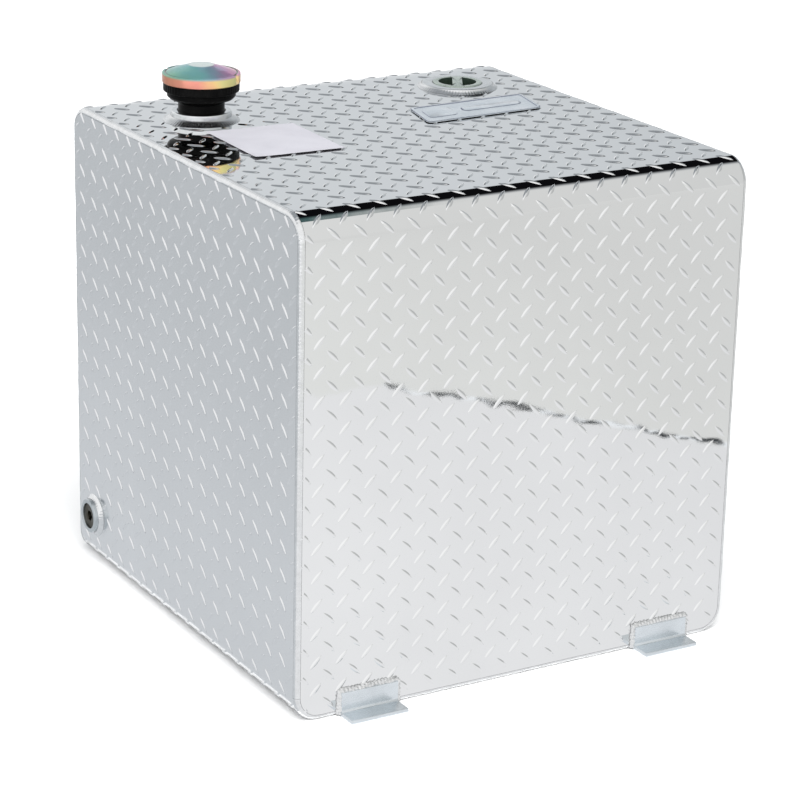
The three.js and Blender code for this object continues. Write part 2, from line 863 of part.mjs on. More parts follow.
const tank = new THREE.Group();
tank.add(plateBox());
tank.add(baffles());
tank.add(filler());
tank.add(pumpBung());
tank.add(drain());
tank.add(feet());
tank.add(named('info_label', infoLabel(), paper()));
tank.add(named('badge_plate', badgePlate(), badgeFilm()));

export default tank;
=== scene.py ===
"""A cube-shaped liquid transfer tank of aluminium tread plate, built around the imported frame.

Metres, +Z up, front towards -Y. Every piece lies in the frame's own coordinates.
"""

import math

import bmesh
import bpy
from mathutils import Matrix, Vector, noise


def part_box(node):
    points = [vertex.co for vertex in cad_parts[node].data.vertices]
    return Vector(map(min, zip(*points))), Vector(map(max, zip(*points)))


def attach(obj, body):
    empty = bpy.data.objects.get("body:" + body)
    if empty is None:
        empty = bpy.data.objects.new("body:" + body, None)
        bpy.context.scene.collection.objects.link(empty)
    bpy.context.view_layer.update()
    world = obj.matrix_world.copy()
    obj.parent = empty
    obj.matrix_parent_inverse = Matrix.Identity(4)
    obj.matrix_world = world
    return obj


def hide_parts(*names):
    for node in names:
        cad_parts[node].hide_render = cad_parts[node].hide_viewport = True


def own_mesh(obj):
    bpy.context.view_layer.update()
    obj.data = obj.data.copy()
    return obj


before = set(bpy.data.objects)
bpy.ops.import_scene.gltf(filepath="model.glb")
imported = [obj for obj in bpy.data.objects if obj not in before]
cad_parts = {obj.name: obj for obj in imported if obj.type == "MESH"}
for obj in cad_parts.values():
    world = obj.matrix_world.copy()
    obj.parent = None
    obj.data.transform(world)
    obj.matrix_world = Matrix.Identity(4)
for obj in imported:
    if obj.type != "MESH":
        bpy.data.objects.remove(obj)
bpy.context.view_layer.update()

MM = 0.001
GAP = 0.3 * MM

# ---------------------------------------------------------------- dimensions from the frame


def middle(node):
    low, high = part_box(node)
    return (low + high) / 2


def half_width(node):
    low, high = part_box(node)
    return (high.x - low.x) / 2


SHEET_LOW, SHEET_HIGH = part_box("shell_upper")
TANK = SHEET_HIGH.z
HALF = TANK / 2
SETBACK = SHEET_LOW.z
SHEET = 3.2 * MM
BEND = 32 * MM
FLAT = HALF - BEND
ARC = BEND * math.pi / 2

FILLER = Vector((middle("filler_flange").x, middle("filler_flange").y, TANK))
CAP = FILLER + Vector((0, 0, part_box("filler_flange")[1].z - TANK))
BUNG = Vector((middle("pump_flange").x, middle("pump_flange").y, TANK))
DRAIN = Vector((-HALF, middle("drain_coupling").y, middle("drain_coupling").z))
TANG_ANGLE = math.radians(-50)
BUNG_BAR_TURN = math.radians(-30)
LABEL_TURN = math.radians(-1.5)
BADGE_TURN = math.radians(4)
BADGE_SLANT = 0.3

# The raised pattern: pointed lugs in two directions, each row half a pitch from the next.
LUG_LENGTH = 25 * MM
LUG_WIDTH = 6.6 * MM
LUG_HEIGHT = 1.4 * MM
LUG_SUNK = 0.25 * MM
PITCH_ALONG = 35.3 * MM
PITCH_ACROSS = 34.2 * MM
UPPER_PHASE = (-14.97 * MM, -5.5 * MM)
LOWER_PHASE = (11.95 * MM, -14.6 * MM)
LUG_ROWS = 7
LUG_PROFILE = ((-1, None), (-0.78, 0.26), (-0.4, 0.79), (0, 1), (0.4, 0.79), (0.78, 0.26), (1, None))
CLEAR_OF_WELD = 3 * MM

# Holes in the sheets, and the notches in the cap cover's rim.
FILLER_HOLE = 33.9 * MM
BUNG_HOLE = 36.3 * MM
DRAIN_HOLE = 22.5 * MM
COVER_RADIUS = 48.7 * MM
NOTCH_WIDTH = 8 * MM
NOTCH_DEPTH = 4.4 * MM

# ---------------------------------------------------------------- mesh helpers


def piece(name, verts, faces, body, look, sharp=40):
    """A named object from a closed mesh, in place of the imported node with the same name."""
    mesh = bpy.data.meshes.new(name)
    mesh.from_pydata([tuple(v) for v in verts], [], faces)
    return finish_piece(mesh, name, body, look, sharp)


def clean(mesh, merge=True):
    """Turns a mesh's faces outwards; merge also joins points that lie on one another."""
    shell = bmesh.new()
    shell.from_mesh(mesh)
    if merge:
        bmesh.ops.remove_doubles(shell, verts=shell.verts, dist=1e-7)
    bmesh.ops.recalc_face_normals(shell, faces=shell.faces)
    shell.to_mesh(mesh)
    shell.free()
    return mesh


def finish_piece(mesh, name, body, look, sharp=40):
    """Shades a mesh smooth up to the sharp angle and hands it to its body."""
    clean(mesh)
    mesh.shade_smooth()
    mesh.set_sharp_from_angle(angle=math.radians(sharp))
    mesh.materials.clear()
    mesh.materials.append(look)
    obj = loose(name, mesh)
    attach(obj, body)
    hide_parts(name)
    return obj


def applied(obj):
    """The object's mesh with its modifiers applied; the object itself is removed."""
    bpy.context.view_layer.update()
    graph = bpy.context.evaluated_depsgraph_get()
    mesh = bpy.data.meshes.new_from_object(obj.evaluated_get(graph))
    bpy.data.objects.remove(obj)
    return mesh


def loose(name, mesh):
    obj = bpy.data.objects.new(name, mesh)
    bpy.context.scene.collection.objects.link(obj)
    return obj


def raw_mesh(name, verts, faces):
    mesh = bpy.data.meshes.new(name)
    mesh.from_pydata([tuple(v) for v in verts], [], faces)
    return clean(mesh, merge=False)


def joined(name, parts):
    """One mesh made of several."""
    shell = bmesh.new()
    for part in parts:
        shell.from_mesh(part)
    mesh = bpy.data.meshes.new(name)
    shell.to_mesh(mesh)
    shell.free()
    return mesh


def slab_faces(across, along):
    """Faces of a thin slab: a grid of points, the same grid again underneath, and the border between."""
    wide = across + 1
    skin = wide * (along + 1)
    faces = []
    for row in range(along):
        for column in range(across):
            a = row * wide + column
            faces.append((a, a + 1, a + 1 + wide, a + wide))
            faces.append((skin + a, skin + a + wide, skin + a + 1 + wide, skin + a + 1))
    border = list(range(wide))
    border += [row * wide + across for row in range(1, along + 1)]
    border += [skin - 1 - column for column in range(1, wide)]
    border += [row * wide for row in range(along - 1, 0, -1)]
    faces += [(a, skin + a, skin + b, b) for a, b in zip(border, border[1:] + border[:1])]
    return faces


def cut(mesh, cutters):
    """The mesh with each cutter mesh taken out of it."""
    body = loose("cut_body", mesh)
    tools = [loose(f"cutter_{i}", cutter) for i, cutter in enumerate(cutters)]
    for tool in tools:
        boolean = body.modifiers.new("cut", "BOOLEAN")
        boolean.operation = "DIFFERENCE"
        boolean.solver = "EXACT"
        boolean.object = tool
    result = applied(body)
    for tool in tools:
        bpy.data.objects.remove(tool)
    return result


def bevelled(mesh, width, segments=2, angle=35):
    body = loose("bevel_body", mesh)
    bevel = body.modifiers.new("bevel", "BEVEL")
    bevel.width = width
    bevel.segments = segments
    bevel.limit_method = "ANGLE"
    bevel.angle_limit = math.radians(angle)
    bevel.use_clamp_overlap = True
    return applied(body)


def rounded(points, steps=4):
    """A closed outline with a fillet at each corner; a point is (a, b) or (a, b, fillet radius)."""
    outline = []
    count = len(points)
    for i, point in enumerate(points):
        here = Vector(point[:2])
        radius = point[2] if len(point) > 2 else 0
        if not radius:
            outline.append(here)
            continue
        before = Vector(points[i - 1][:2]) - here
        after = Vector(points[(i + 1) % count][:2]) - here
        opening = before.angle(after) / 2
        reach = min(radius / math.tan(opening), before.length * 0.48, after.length * 0.48)
        start = here + before.normalized() * reach
        end = here + after.normalized() * reach
        for step in range(steps + 1):
            f = step / steps
            outline.append(start * (1 - f) ** 2 + here * (2 * f * (1 - f)) + end * f ** 2)
    return outline


def lathe(profile, centre, axis="Z", angles=96, warp=None):
    """A closed solid of revolution in (radius, height) about an upright or, for "X", a leftward axis."""
    turns = angles if isinstance(angles, list) else [2 * math.pi * i / angles for i in range(angles)]
    count = len(profile)
    verts = []
    for turn in turns:
        for radius, height in profile:
            if warp:
                radius, height = warp(radius, height, turn)
            a, b = radius * math.cos(turn), radius * math.sin(turn)
            offset = Vector((a, b, height)) if axis == "Z" else Vector((-height, b, a))
            verts.append(centre + offset)
    faces = []
    for i in range(len(turns)):
        j = (i + 1) % len(turns)
        for k in range(count):
            m = (k + 1) % count
            on_axis = abs(profile[k][0]) < 1e-9 and abs(profile[m][0]) < 1e-9
            if not on_axis:
                faces.append((i * count + k, j * count + k, j * count + m, i * count + m))
    return verts, faces


def swept(section, stations, closed=False):
    """A closed solid whose outline section(i) -> [(a, b)] is carried along stations (at, u, v)."""
    verts = []
    for i, (at, u, v) in enumerate(stations):
        verts += [at + u * a + v * b for a, b in section(i)]
    count = len(section(0))
    faces = []
    runs = len(stations) if closed else len(stations) - 1
    for i in range(runs):
        j = (i + 1) % len(stations)
        for k in range(count):
            m = (k + 1) % count
            faces.append((i * count + k, i * count + m, j * count + m, j * count + k))
    if not closed:
        last = (len(stations) - 1) * count
        faces.append(tuple(range(count - 1, -1, -1)))
        faces.append(tuple(range(last, last + count)))
    return verts, faces


# ---------------------------------------------------------------- looks


class Nodes:
    """Shader nodes, added to one node tree."""

    def __init__(self, tree):
        self.tree = tree

    def node(self, kind, **values):
        made = self.tree.nodes.new(kind)
        for key, value in values.items():
            setattr(made, key, value)
        return made

    def feed(self, node, **inputs):
        for key, value in inputs.items():
            socket = node.inputs[key.replace("_", " ")]
            if isinstance(value, bpy.types.NodeSocket):
                self.tree.links.new(value, socket)
            else:
                socket.default_value = value
        return node

    def along(self, place, direction):
        made = self.node("ShaderNodeVectorMath", operation="DOT_PRODUCT")
        self.tree.links.new(place, made.inputs[0])
        made.inputs[1].default_value = direction
        return made.outputs["Value"]

    def span(self, value, low, high, start=0.3, end=0.7):
        made = self.node("ShaderNodeMapRange")
        self.feed(made, Value=value)
        for index, number in ((1, start), (2, end), (3, low), (4, high)):
            made.inputs[index].default_value = number
        return made.outputs[0]

    def mix(self, factor, first, second):
        made = self.node("ShaderNodeMix", data_type="RGBA")
        for index, value in ((0, factor), (6, first), (7, second)):
            if isinstance(value, bpy.types.NodeSocket):
                self.tree.links.new(value, made.inputs[index])
            else:
                made.inputs[index].default_value = (*value, 1)
        return made.outputs[2]


class Look(Nodes):
    """A procedural material; object coordinates are the frame's own metres."""

    def __init__(self, name, color, metallic=0.0, roughness=0.5):
        self.material = bpy.data.materials.new(name)
        self.material.use_nodes = True
        super().__init__(self.material.node_tree)
        self.shader = self.tree.nodes["Principled BSDF"]
        self.shader.inputs["Base Color"].default_value = (*color, 1)
        self.shader.inputs["Metallic"].default_value = metallic
        self.shader.inputs["Roughness"].default_value = roughness
        self.place = self.node("ShaderNodeTexCoord").outputs["Object"]

    def noise(self, scale, detail=3, stretch=(1, 1, 1), roughness=0.55):
        mapping = self.feed(self.node("ShaderNodeMapping"), Vector=self.place, Scale=stretch)
        made = self.node("ShaderNodeTexNoise")
        self.feed(made, Vector=mapping.outputs[0], Scale=scale, Detail=detail, Roughness=roughness)
        return made.outputs["Fac"]

    def bump(self, height, distance, strength=1.0, over=None):
        made = self.node("ShaderNodeBump")
        self.feed(made, Height=height, Distance=distance, Strength=strength)
        if over:
            self.feed(made, Normal=over)
        return made.outputs[0]

    def color(self, socket):
        self.tree.links.new(socket, self.shader.inputs["Base Color"])

    def roughness(self, socket):
        self.tree.links.new(socket, self.shader.inputs["Roughness"])

    def normal(self, socket):
        self.tree.links.new(socket, self.shader.inputs["Normal"])

    def surface(self, tint, dark, light, grain, smooth, rough, depth):
        """Colour that drifts with tint, and roughness and fine relief that follow grain."""
        self.color(self.mix(self.span(tint, 0, 1), dark, light))
        self.roughness(self.span(grain, smooth, rough))
        self.normal(self.bump(grain, depth))
        return self.material

    def shine(self, socket):
        """Light of its own, in the socket's colour."""
        self.tree.links.new(socket, self.shader.inputs["Emission Color"])
        self.shader.inputs["Emission Strength"].default_value = 1.0


def shade(color, factor):
    return tuple(channel * factor for channel in color)


def rolled_aluminium(name, color, roughness, wave, grain_along):
    """Rolled plate: large shallow waves, rolling streaks along one axis and faint cloudy stain."""
    look = Look(name, color, 1.0, roughness)
    clouds = look.noise(5, 4)
    streaks = look.noise(260, 3, grain_along)
    spots = look.noise(900, 2)
    look.color(look.mix(look.span(clouds, 0, 1), shade(color, 0.955), color))
    look.roughness(look.span(streaks, roughness * 0.75, roughness * 1.3))
    waves = look.bump(look.noise(22, 1), wave)
    grain = look.bump(streaks, 0.006 * MM, 1.0, waves)
    look.normal(look.bump(spots, 0.004 * MM, 1.0, grain))
    return look.material


def plain_metal(name, color, roughness, grain=(1, 1, 1), scale=700, depth=0.01 * MM, stain=0.9):
    look = Look(name, color, 1.0, roughness)
    fine = look.noise(scale, 3, grain)
    dark = shade(color, stain)
    return look.surface(look.noise(40, 4), dark, color, fine, roughness * 0.8, roughness * 1.35, depth)


def turned_metal(name, color, roughness, centre, axis):
    """A turned face: tool marks in rings about the fitting's own axis."""
    look = Look(name, color, 1.0, roughness)
    flat = (0, 1, 1) if axis == "X" else (1, 1, 0)
    mapping = look.feed(look.node("ShaderNodeMapping"), Vector=look.place, Scale=flat)
    mapping.inputs["Location"].default_value = [-c * f for c, f in zip(centre, flat)]
    length = look.node("ShaderNodeVectorMath", operation="LENGTH")
    look.feed(length, Vector=mapping.outputs[0])
    ring = look.node("ShaderNodeTexNoise", noise_dimensions="1D")
    look.feed(ring, W=length.outputs["Value"], Scale=2600.0, Detail=2.0)
    marks = ring.outputs[0]
    dark = shade(color, 0.9)
    return look.surface(look.noise(60, 3), dark, color, marks, roughness * 0.8, roughness * 1.4, 0.012 * MM)


def weld_metal(name, color, roughness, lump):
    look = Look(name, color, 1.0, roughness)
    soot = shade(color, 0.88)
    pits = look.noise(900, 3)
    return look.surface(look.noise(120, 4), soot, color, pits, roughness * 0.8, roughness * 1.4, lump)


def enamel(name):
    look = Look(name, (0.002, 0.002, 0.002), 0.0, 0.3)
    look.shader.inputs["Specular IOR Level"].default_value = 0.06
    black, dust = (0.001, 0.001, 0.001), (0.004, 0.004, 0.004)
    return look.surface(look.noise(90, 4), black, dust, look.noise(1400, 2), 0.22, 0.4, 0.03 * MM)


def rubber(name):
    look = Look(name, (0.02, 0.02, 0.02), 0.0, 0.8)
    black, bloom = (0.016, 0.016, 0.016), (0.032, 0.031, 0.03)
    return look.surface(look.noise(150, 3), black, bloom, look.noise(1800, 3), 0.68, 0.9, 0.04 * MM)


def ramp(look, value, stops):
    """A colour ramp through (position, colour) stops."""
    made = look.feed(look.node("ShaderNodeValToRGB"), Fac=value)
    elements = made.color_ramp.elements
    for index, (position, color) in enumerate(stops):
        element = elements[index] if index < 2 else elements.new(position)
        element.position = position
        element.color = (*color, 1)
    return made.outputs["Color"]


DOME_COLORS = (
    (0.0, (0.17, 0.36, 0.25)),
    (0.28, (0.16, 0.38, 0.38)),
    (0.5, (0.25, 0.36, 0.46)),
    (0.68, (0.46, 0.26, 0.44)),
    (0.84, (0.60, 0.26, 0.36)),
    (1.0, (0.30, 0.42, 0.30)),
)
# Film colours round the cap cover's rim, orange at the left to green at the right; the bright gold in the
# middle is a painted highlight.
RIM_FILM_AND_HIGHLIGHT_COLORS = (
    (0.0, (0.55, 0.24, 0.15)),
    (0.25, (0.78, 0.30, 0.24)),
    (0.48, (0.88, 0.62, 0.26)),
    (0.66, (0.72, 0.70, 0.30)),
    (0.84, (0.80, 0.36, 0.24)),
    (1.0, (0.50, 0.30, 0.18)),
)
CENTRE_COLOR = (0.62, 0.68, 0.66)
# Painted shade: the groove between the dome and the shoulder is coloured dark.
GROOVE_SHADE_COLOR = (0.05, 0.10, 0.08)


def rainbow_plating(name):
    """Chromate film: its colour drifts over the dome, and the straight rim is orange to green with a painted
    gold highlight in the middle; the groove is painted dark as shade.
    """
    look = Look(name, (0.6, 0.55, 0.5), 0.62, 0.2)
    shifted = look.node("ShaderNodeVectorMath", operation="SUBTRACT")
    look.tree.links.new(look.place, shifted.inputs[0])
    shifted.inputs[1].default_value = CAP
    wander = look.node("ShaderNodeMath", operation="MULTIPLY_ADD")
    look.tree.links.new(look.noise(26, 2), wander.inputs[0])
    wander.inputs[1].default_value = 0.5
    look.tree.links.new(look.along(shifted.outputs[0], (9.0, 1.0, 0)), wander.inputs[2])
    across = look.span(wander.outputs[0], 0, 1, -0.2, 0.7)
    split = look.node("ShaderNodeSeparateXYZ")
    look.tree.links.new(shifted.outputs[0], split.inputs[0])
    height = look.span(split.outputs[2], 0, 1, 44.6 * MM, 47.3 * MM)
    flat = look.feed(look.node("ShaderNodeMapping"), Vector=shifted.outputs[0], Scale=(1, 1, 0))
    radius = look.node("ShaderNodeVectorMath", operation="LENGTH")
    look.feed(radius, Vector=flat.outputs[0])
    centre = look.span(radius.outputs["Value"], 1, 0, 14.5 * MM, 17.5 * MM)
    dome = look.mix(centre, ramp(look, across, DOME_COLORS), CENTRE_COLOR)
    # Painted shade in the groove: a dark ring where the radius lies between the groove's edges.
    groove = look.node("ShaderNodeMath", operation="MULTIPLY")
    look.tree.links.new(look.span(radius.outputs["Value"], 0, 1, 43.2 * MM, 43.9 * MM), groove.inputs[0])
    look.tree.links.new(look.span(radius.outputs["Value"], 1, 0, 45.2 * MM, 46.0 * MM), groove.inputs[1])
    top = look.mix(groove.outputs[0], dome, GROOVE_SHADE_COLOR)
    look.color(look.mix(height, ramp(look, across, RIM_FILM_AND_HIGHLIGHT_COLORS), top))
    look.roughness(look.span(look.noise(900, 3), 0.13, 0.26))
    look.normal(look.bump(look.noise(220, 2), 0.03 * MM))
    return look.material


def paper(name):
    look = Look(name, (0.48, 0.48, 0.52), 0.0, 0.7)
    dull, clean_paper = (0.44, 0.435, 0.475), (0.49, 0.485, 0.525)
    return look.surface(look.noise(18, 3), dull, clean_paper, look.noise(1500, 4), 0.6, 0.82, 0.03 * MM)


def badge_film(name):
    look = Look(name, (0.54, 0.58, 0.62), 0.6, 0.22)
    dull, bright = (0.46, 0.51, 0.56), (0.60, 0.64, 0.68)
    return look.surface(look.noise(34, 3), dull, bright, look.noise(600, 3, (1, 8, 1)), 0.16, 0.32, 0.01 * MM)


UPPER_PLATE = rolled_aluminium("tread_plate_bright", (0.90, 0.905, 0.91), 0.025, 0.2 * MM, (1, 0.05, 0.05))
LOWER_PLATE = rolled_aluminium("tread_plate_satin", (0.86, 0.868, 0.88), 0.15, 0.08 * MM, (1, 1, 0.2))
BEAD = weld_metal("weld_bead", (0.88, 0.89, 0.90), 0.2, 0.02 * MM)
ROUGH_BEAD = weld_metal("rough_weld", (0.88, 0.885, 0.89), 0.3, 0.25 * MM)
FILLER_METAL = turned_metal("filler_turned", (0.80, 0.82, 0.83), 0.16, FILLER, "Z")
BUNG_METAL = turned_metal("bung_turned", (0.80, 0.82, 0.83), 0.22, BUNG, "Z")
DRAIN_METAL = turned_metal("drain_turned", (0.62, 0.66, 0.68), 0.24, DRAIN, "X")
FOOT_METAL = plain_metal("mill_aluminium", (0.80, 0.85, 0.89), 0.24, (0.06, 1, 1))
BAFFLE_METAL = plain_metal("baffle_sheet", (0.72, 0.74, 0.75), 0.4, (1, 1, 0.08))
SPRING_STEEL = plain_metal("spring_steel", (0.58, 0.58, 0.58), 0.3)
PLUG_METAL = plain_metal("zinc_plug", (0.60, 0.68, 0.61), 0.26, depth=0.03 * MM)
# Painted shade: a near-black green for the inside of the pump plug's wrench pockets.
POCKET_SHADE = plain_metal("zinc_pocket_shade", (0.07, 0.10, 0.08), 0.5, depth=0.03 * MM)
DARK_PLUG = plain_metal("dark_plug", (0.075, 0.068, 0.052), 0.3, depth=0.03 * MM)
ENAMEL = enamel("black_enamel")
RUBBER = rubber("rubber_seal")
PLATING = rainbow_plating("rainbow_plating")
PAPER = paper("label_paper")
BADGE_FILM = badge_film("badge_film")
# Painted shade: a dark blue-grey for the walls of the badge's raised steps.
BADGE_STEP_SHADE = plain_metal("badge_step_shade", (0.16, 0.17, 0.27), 0.35)

# ---------------------------------------------------------------- folded tread plates


class Fold:
    """A U-shaped sheet unrolled: s runs along the fold from its closed side's middle, t across it."""

    def __init__(self, upper):
        self.upper = upper
        self.rise = 0 if upper else LUG_HEIGHT
        self.end = FLAT + ARC + TANK - SETBACK - BEND - self.rise

    def point(self, s, t, height=0.0):
        side = 1 if s > 0 else -1
        run = abs(s)
        if run <= FLAT:
            a, b, na, nb = run, 0, 0, -1
        elif run <= FLAT + ARC:
            turn = (run - FLAT) / BEND
            na, nb = math.sin(turn), -math.cos(turn)
            a, b = FLAT + BEND * na, BEND * (1 + nb)
        else:
            a, b, na, nb = HALF, BEND + run - FLAT - ARC, 1, 0
        a = side * (a + na * height)
        b = self.rise + b + nb * height
        return Vector((t, a, TANK - b)) if self.upper else Vector((a, t, b))

    def width(self, s):
        """Half the sheet's width at s: the walls' free corners are round."""
        side = HALF - SETBACK
        radius = BEND - SETBACK
        into = abs(s) - (self.end - radius)
        if into <= 0:
            return side
        return side - radius + math.sqrt(max(radius ** 2 - into ** 2, 0))

    def rows(self):
        """Positions along half the fold, closer together on the bends and the round corners."""
        radius = BEND - SETBACK
        wall = FLAT + ARC
        corner = self.end - radius
        rows = [FLAT * i / 12 for i in range(12)]
        rows += [FLAT + ARC * i / 16 for i in range(16)]
        rows += [wall + (corner - wall) * i / 20 for i in range(20)]
        rows += [corner + radius * math.sin(math.pi / 2 * i / 10) for i in range(11)]
        return [-s for s in reversed(rows[1:])] + rows


def sheet_mesh(fold):
    """The plain sheet: outer skin, inner skin and the cut edge between them."""
    columns = 24
    rows = fold.rows()
    verts = []
    for height in (0, -SHEET):
        for s in rows:
            width = fold.width(s)
            verts += [fold.point(s, width * (2 * c / columns - 1), height) for c in range(columns + 1)]
    return raw_mesh("sheet", verts, slab_faces(columns, len(rows) - 1))


def cylinder_cutter(centre, axis, radius, depth):
    profile = [(0, -depth), (radius, -depth), (radius, depth), (0, depth)]
    verts, faces = lathe(profile, centre, axis, 64)
    return clean(raw_mesh("cutter", verts, faces))


def lug(fold, s, t, lean, clear, verts, faces):
    """One pointed lug, cut off where it would cross the sheet's edge or a fitting."""
    along = Vector((math.cos(lean), math.sin(lean)))
    across = Vector((-along.y, along.x))
    centre = Vector((s, t))
    samples = [i / 12 for i in range(-12, 13)]
    kept = [p for p in samples if clear(centre + along * (p * LUG_LENGTH / 2))]
    if len(kept) < 8 or kept[-1] - kept[0] > (len(kept) - 0.5) / 12:
        return
    low, high = kept[0], kept[-1]
    rows = []
    for row in range(LUG_ROWS):
        p = low + (high - low) * row / (LUG_ROWS - 1)
        taper = max(math.cos(math.pi * p / 2), 0)
        top = LUG_HEIGHT * (1 - abs(p) ** 3.5)
        base = len(verts)
        if taper < 0.02:
            at = centre + along * (p * LUG_LENGTH / 2)
            verts.append(fold.point(at.x, at.y, -LUG_SUNK))
            rows.append([base] * len(LUG_PROFILE))
            continue
        for q, lift in LUG_PROFILE:
            at = centre + along * (p * LUG_LENGTH / 2) + across * (q * taper ** 0.8 * LUG_WIDTH / 2)
            height = -LUG_SUNK if lift is None else top * lift - LUG_SUNK * (1 - lift)
            verts.append(fold.point(at.x, at.y, height))
        rows.append([base + i for i in range(len(LUG_PROFILE))])
    for first, second in zip(rows, rows[1:]):
        for k in range(len(LUG_PROFILE) - 1):
            corners = (first[k], first[k + 1], second[k + 1], second[k])
            faces.append(tuple(dict.fromkeys(corners)))
    under = [row[0] for row in rows] + [row[-1] for row in reversed(rows)]
    faces.append(tuple(dict.fromkeys(under)))
    for row in (rows[0], rows[-1]):
        if len(set(row)) > 2:
            faces.append(tuple(row))


def lug_mesh(fold, phase_s, phase_t, clear):
    verts, faces = [], []
    reach = int(fold.end / PITCH_ALONG) + 2
    wide = int(HALF / PITCH_ACROSS) + 2
    for lean, offset in ((math.pi / 4, 0), (-math.pi / 4, 0.5)):
        for i in range(-reach, reach + 1):
            for j in range(-wide, wide + 1):
                s = phase_s + (offset + i) * PITCH_ALONG
                t = phase_t + (offset + j) * PITCH_ACROSS
                lug(fold, s, t, lean, clear, verts, faces)
    return raw_mesh("lugs", verts, faces)


def tread_sheet(name, upper, phase_s, phase_t, fittings, look):
    """A folded sheet with its holes and its lugs, clear of the fittings' welds."""
    fold = Fold(upper)

    def clear(at):
        inside = abs(at.x) < fold.end - 1 * MM and abs(at.y) < fold.width(at.x) - 1 * MM
        if not inside:
            return False
        place = fold.point(at.x, at.y)
        return all((place - centre).length > keep_out for centre, _, _, keep_out in fittings)

    cutters = [cylinder_cutter(centre, axis, hole, 20 * MM) for centre, axis, hole, _ in fittings]
    mesh = joined(name, [cut(sheet_mesh(fold), cutters), lug_mesh(fold, phase_s, phase_t, clear)])
    finish_piece(mesh, name, "tank", look, 60)


def build_sheets():
    filler = (FILLER, "Z", FILLER_HOLE, half_width("filler_weld") + CLEAR_OF_WELD)
    bung = (BUNG, "Z", BUNG_HOLE, half_width("pump_flange_weld") + CLEAR_OF_WELD)
    drain_low, drain_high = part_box("drain_weld")
    drain_keep = (drain_high.y - drain_low.y) / 2 + CLEAR_OF_WELD
    drain = (DRAIN, "X", DRAIN_HOLE, drain_keep)
    tread_sheet("shell_upper", True, UPPER_PHASE[0], UPPER_PHASE[1], [filler, bung], UPPER_PLATE)
    tread_sheet("shell_lower", False, LOWER_PHASE[0], LOWER_PHASE[1], [drain], LOWER_PLATE)


# ---------------------------------------------------------------- welds


def ripple(distance, seed, pitch, height, wander):
    """How far a bead swells at a place along it: even ripples over a slow wander."""
    beat = 0.5 + 0.5 * math.cos(2 * math.pi * distance / pitch + 0.6 * math.sin(distance * 61 + seed))
    slow = noise.noise(Vector((distance * 40, seed, 0.3)))
    return height * (beat ** 0.6 - 0.5) + wander * slow


def seam_section(swell):
    """A bead between two square edges: full and round outside, straight against the plates."""
    reach = SETBACK - GAP
    bulge = reach + swell
    points = [(-reach, -SHEET), (-reach, 0)]
    for i in range(1, 10):
        turn = math.pi / 2 * (1 - i / 10)
        points.append((-reach + bulge * math.cos(turn), -reach + bulge * math.sin(turn)))
    points += [(0, -reach), (-SHEET, -reach)]
    return points


def seam_stations(side, out, end, wall):
    """Places along a seam: down one wall, round both corners of the closed edge, down the other wall."""
    step = 1.5 * MM
    centre = Vector((0, 0, HALF)) + side * HALF
    stations = []

    def run(start, stop, normal):
        count = max(int((stop - start).length / step), 1)
        for i in range(count):
            stations.append((start.lerp(stop, i / count), side, normal))

    def corner(first, second):
        hub = centre + first * FLAT + second * FLAT
        count = int(ARC / step)
        for i in range(count):
            turn = math.pi / 2 * i / count
            radial = first * math.cos(turn) + second * math.sin(turn)
            stations.append((hub + radial * BEND, side, radial))

    back = -out
    foot = FLAT - wall
    run(centre + out * HALF + end * foot, centre + out * HALF + end * FLAT, out)
    corner(out, end)
    run(centre + end * HALF + out * FLAT, centre + end * HALF + back * FLAT, end)
    corner(end, back)
    run(centre + back * HALF + end * FLAT, centre + back * HALF + end * foot, back)
    stations.append((centre + back * HALF + end * foot, side, back))
    return stations


def build_seams():
    up, left, front = Vector((0, 0, 1)), Vector((-1, 0, 0)), Vector((0, -1, 0))
    wall = TANK - 2 * BEND - GAP
    runs = (
        ("seam_weld_left", left, front, up, wall),
        ("seam_weld_right", -left, front, up, wall),
        ("seam_weld_front", front, left, -up, 0.01 * MM),
        ("seam_weld_back", -front, left, -up, 0.01 * MM),
    )
    for seed, (name, side, out, end, length) in enumerate(runs):
        stations = seam_stations(side, out, end, length)
        sections = []
        distance = 0.0
        for i, station in enumerate(stations):
            distance += (station[0] - stations[i - 1][0]).length if i else 0
            sections.append(seam_section(ripple(distance, seed, 4.6 * MM, 0.35 * MM, 0.45 * MM)))
        verts, faces = swept(lambda i: sections[i], stations)
        piece(name, verts, faces, "tank", BEAD)


def ring_weld(name, centre, axis, inner, outer, height, seed):
    """The fillet round a fitting, laid in small ripples."""
    foot = inner + GAP
    wide = outer - foot
    profile = [(foot, GAP), (outer, GAP * 0.5)]
    for f in (0.12, 0.3, 0.5, 0.7, 0.88):
        profile.append((foot + wide * (1 - f) ** 1.25, GAP + (height - GAP) * f ** 1.1))
    profile.append((foot, height))
    girth = 2 * math.pi * outer
    pitch = girth / round(girth / (4.2 * MM))

    def warp(radius, up, turn):
        lift = ripple(turn * outer, seed, pitch, 0.5 * MM, 0)
        share = (radius - foot) / wide
        if radius <= foot + 1e-6 or up <= GAP:
            return radius + (lift * 0.6 if radius > foot + 1e-6 else 0), up
        return radius + lift * (0.3 + 0.4 * share), up + lift * 0.6

    verts, faces = lathe(profile, centre, axis, int(girth / (1.1 * MM)), warp)
    piece(name, verts, faces, "tank", BEAD, 60)


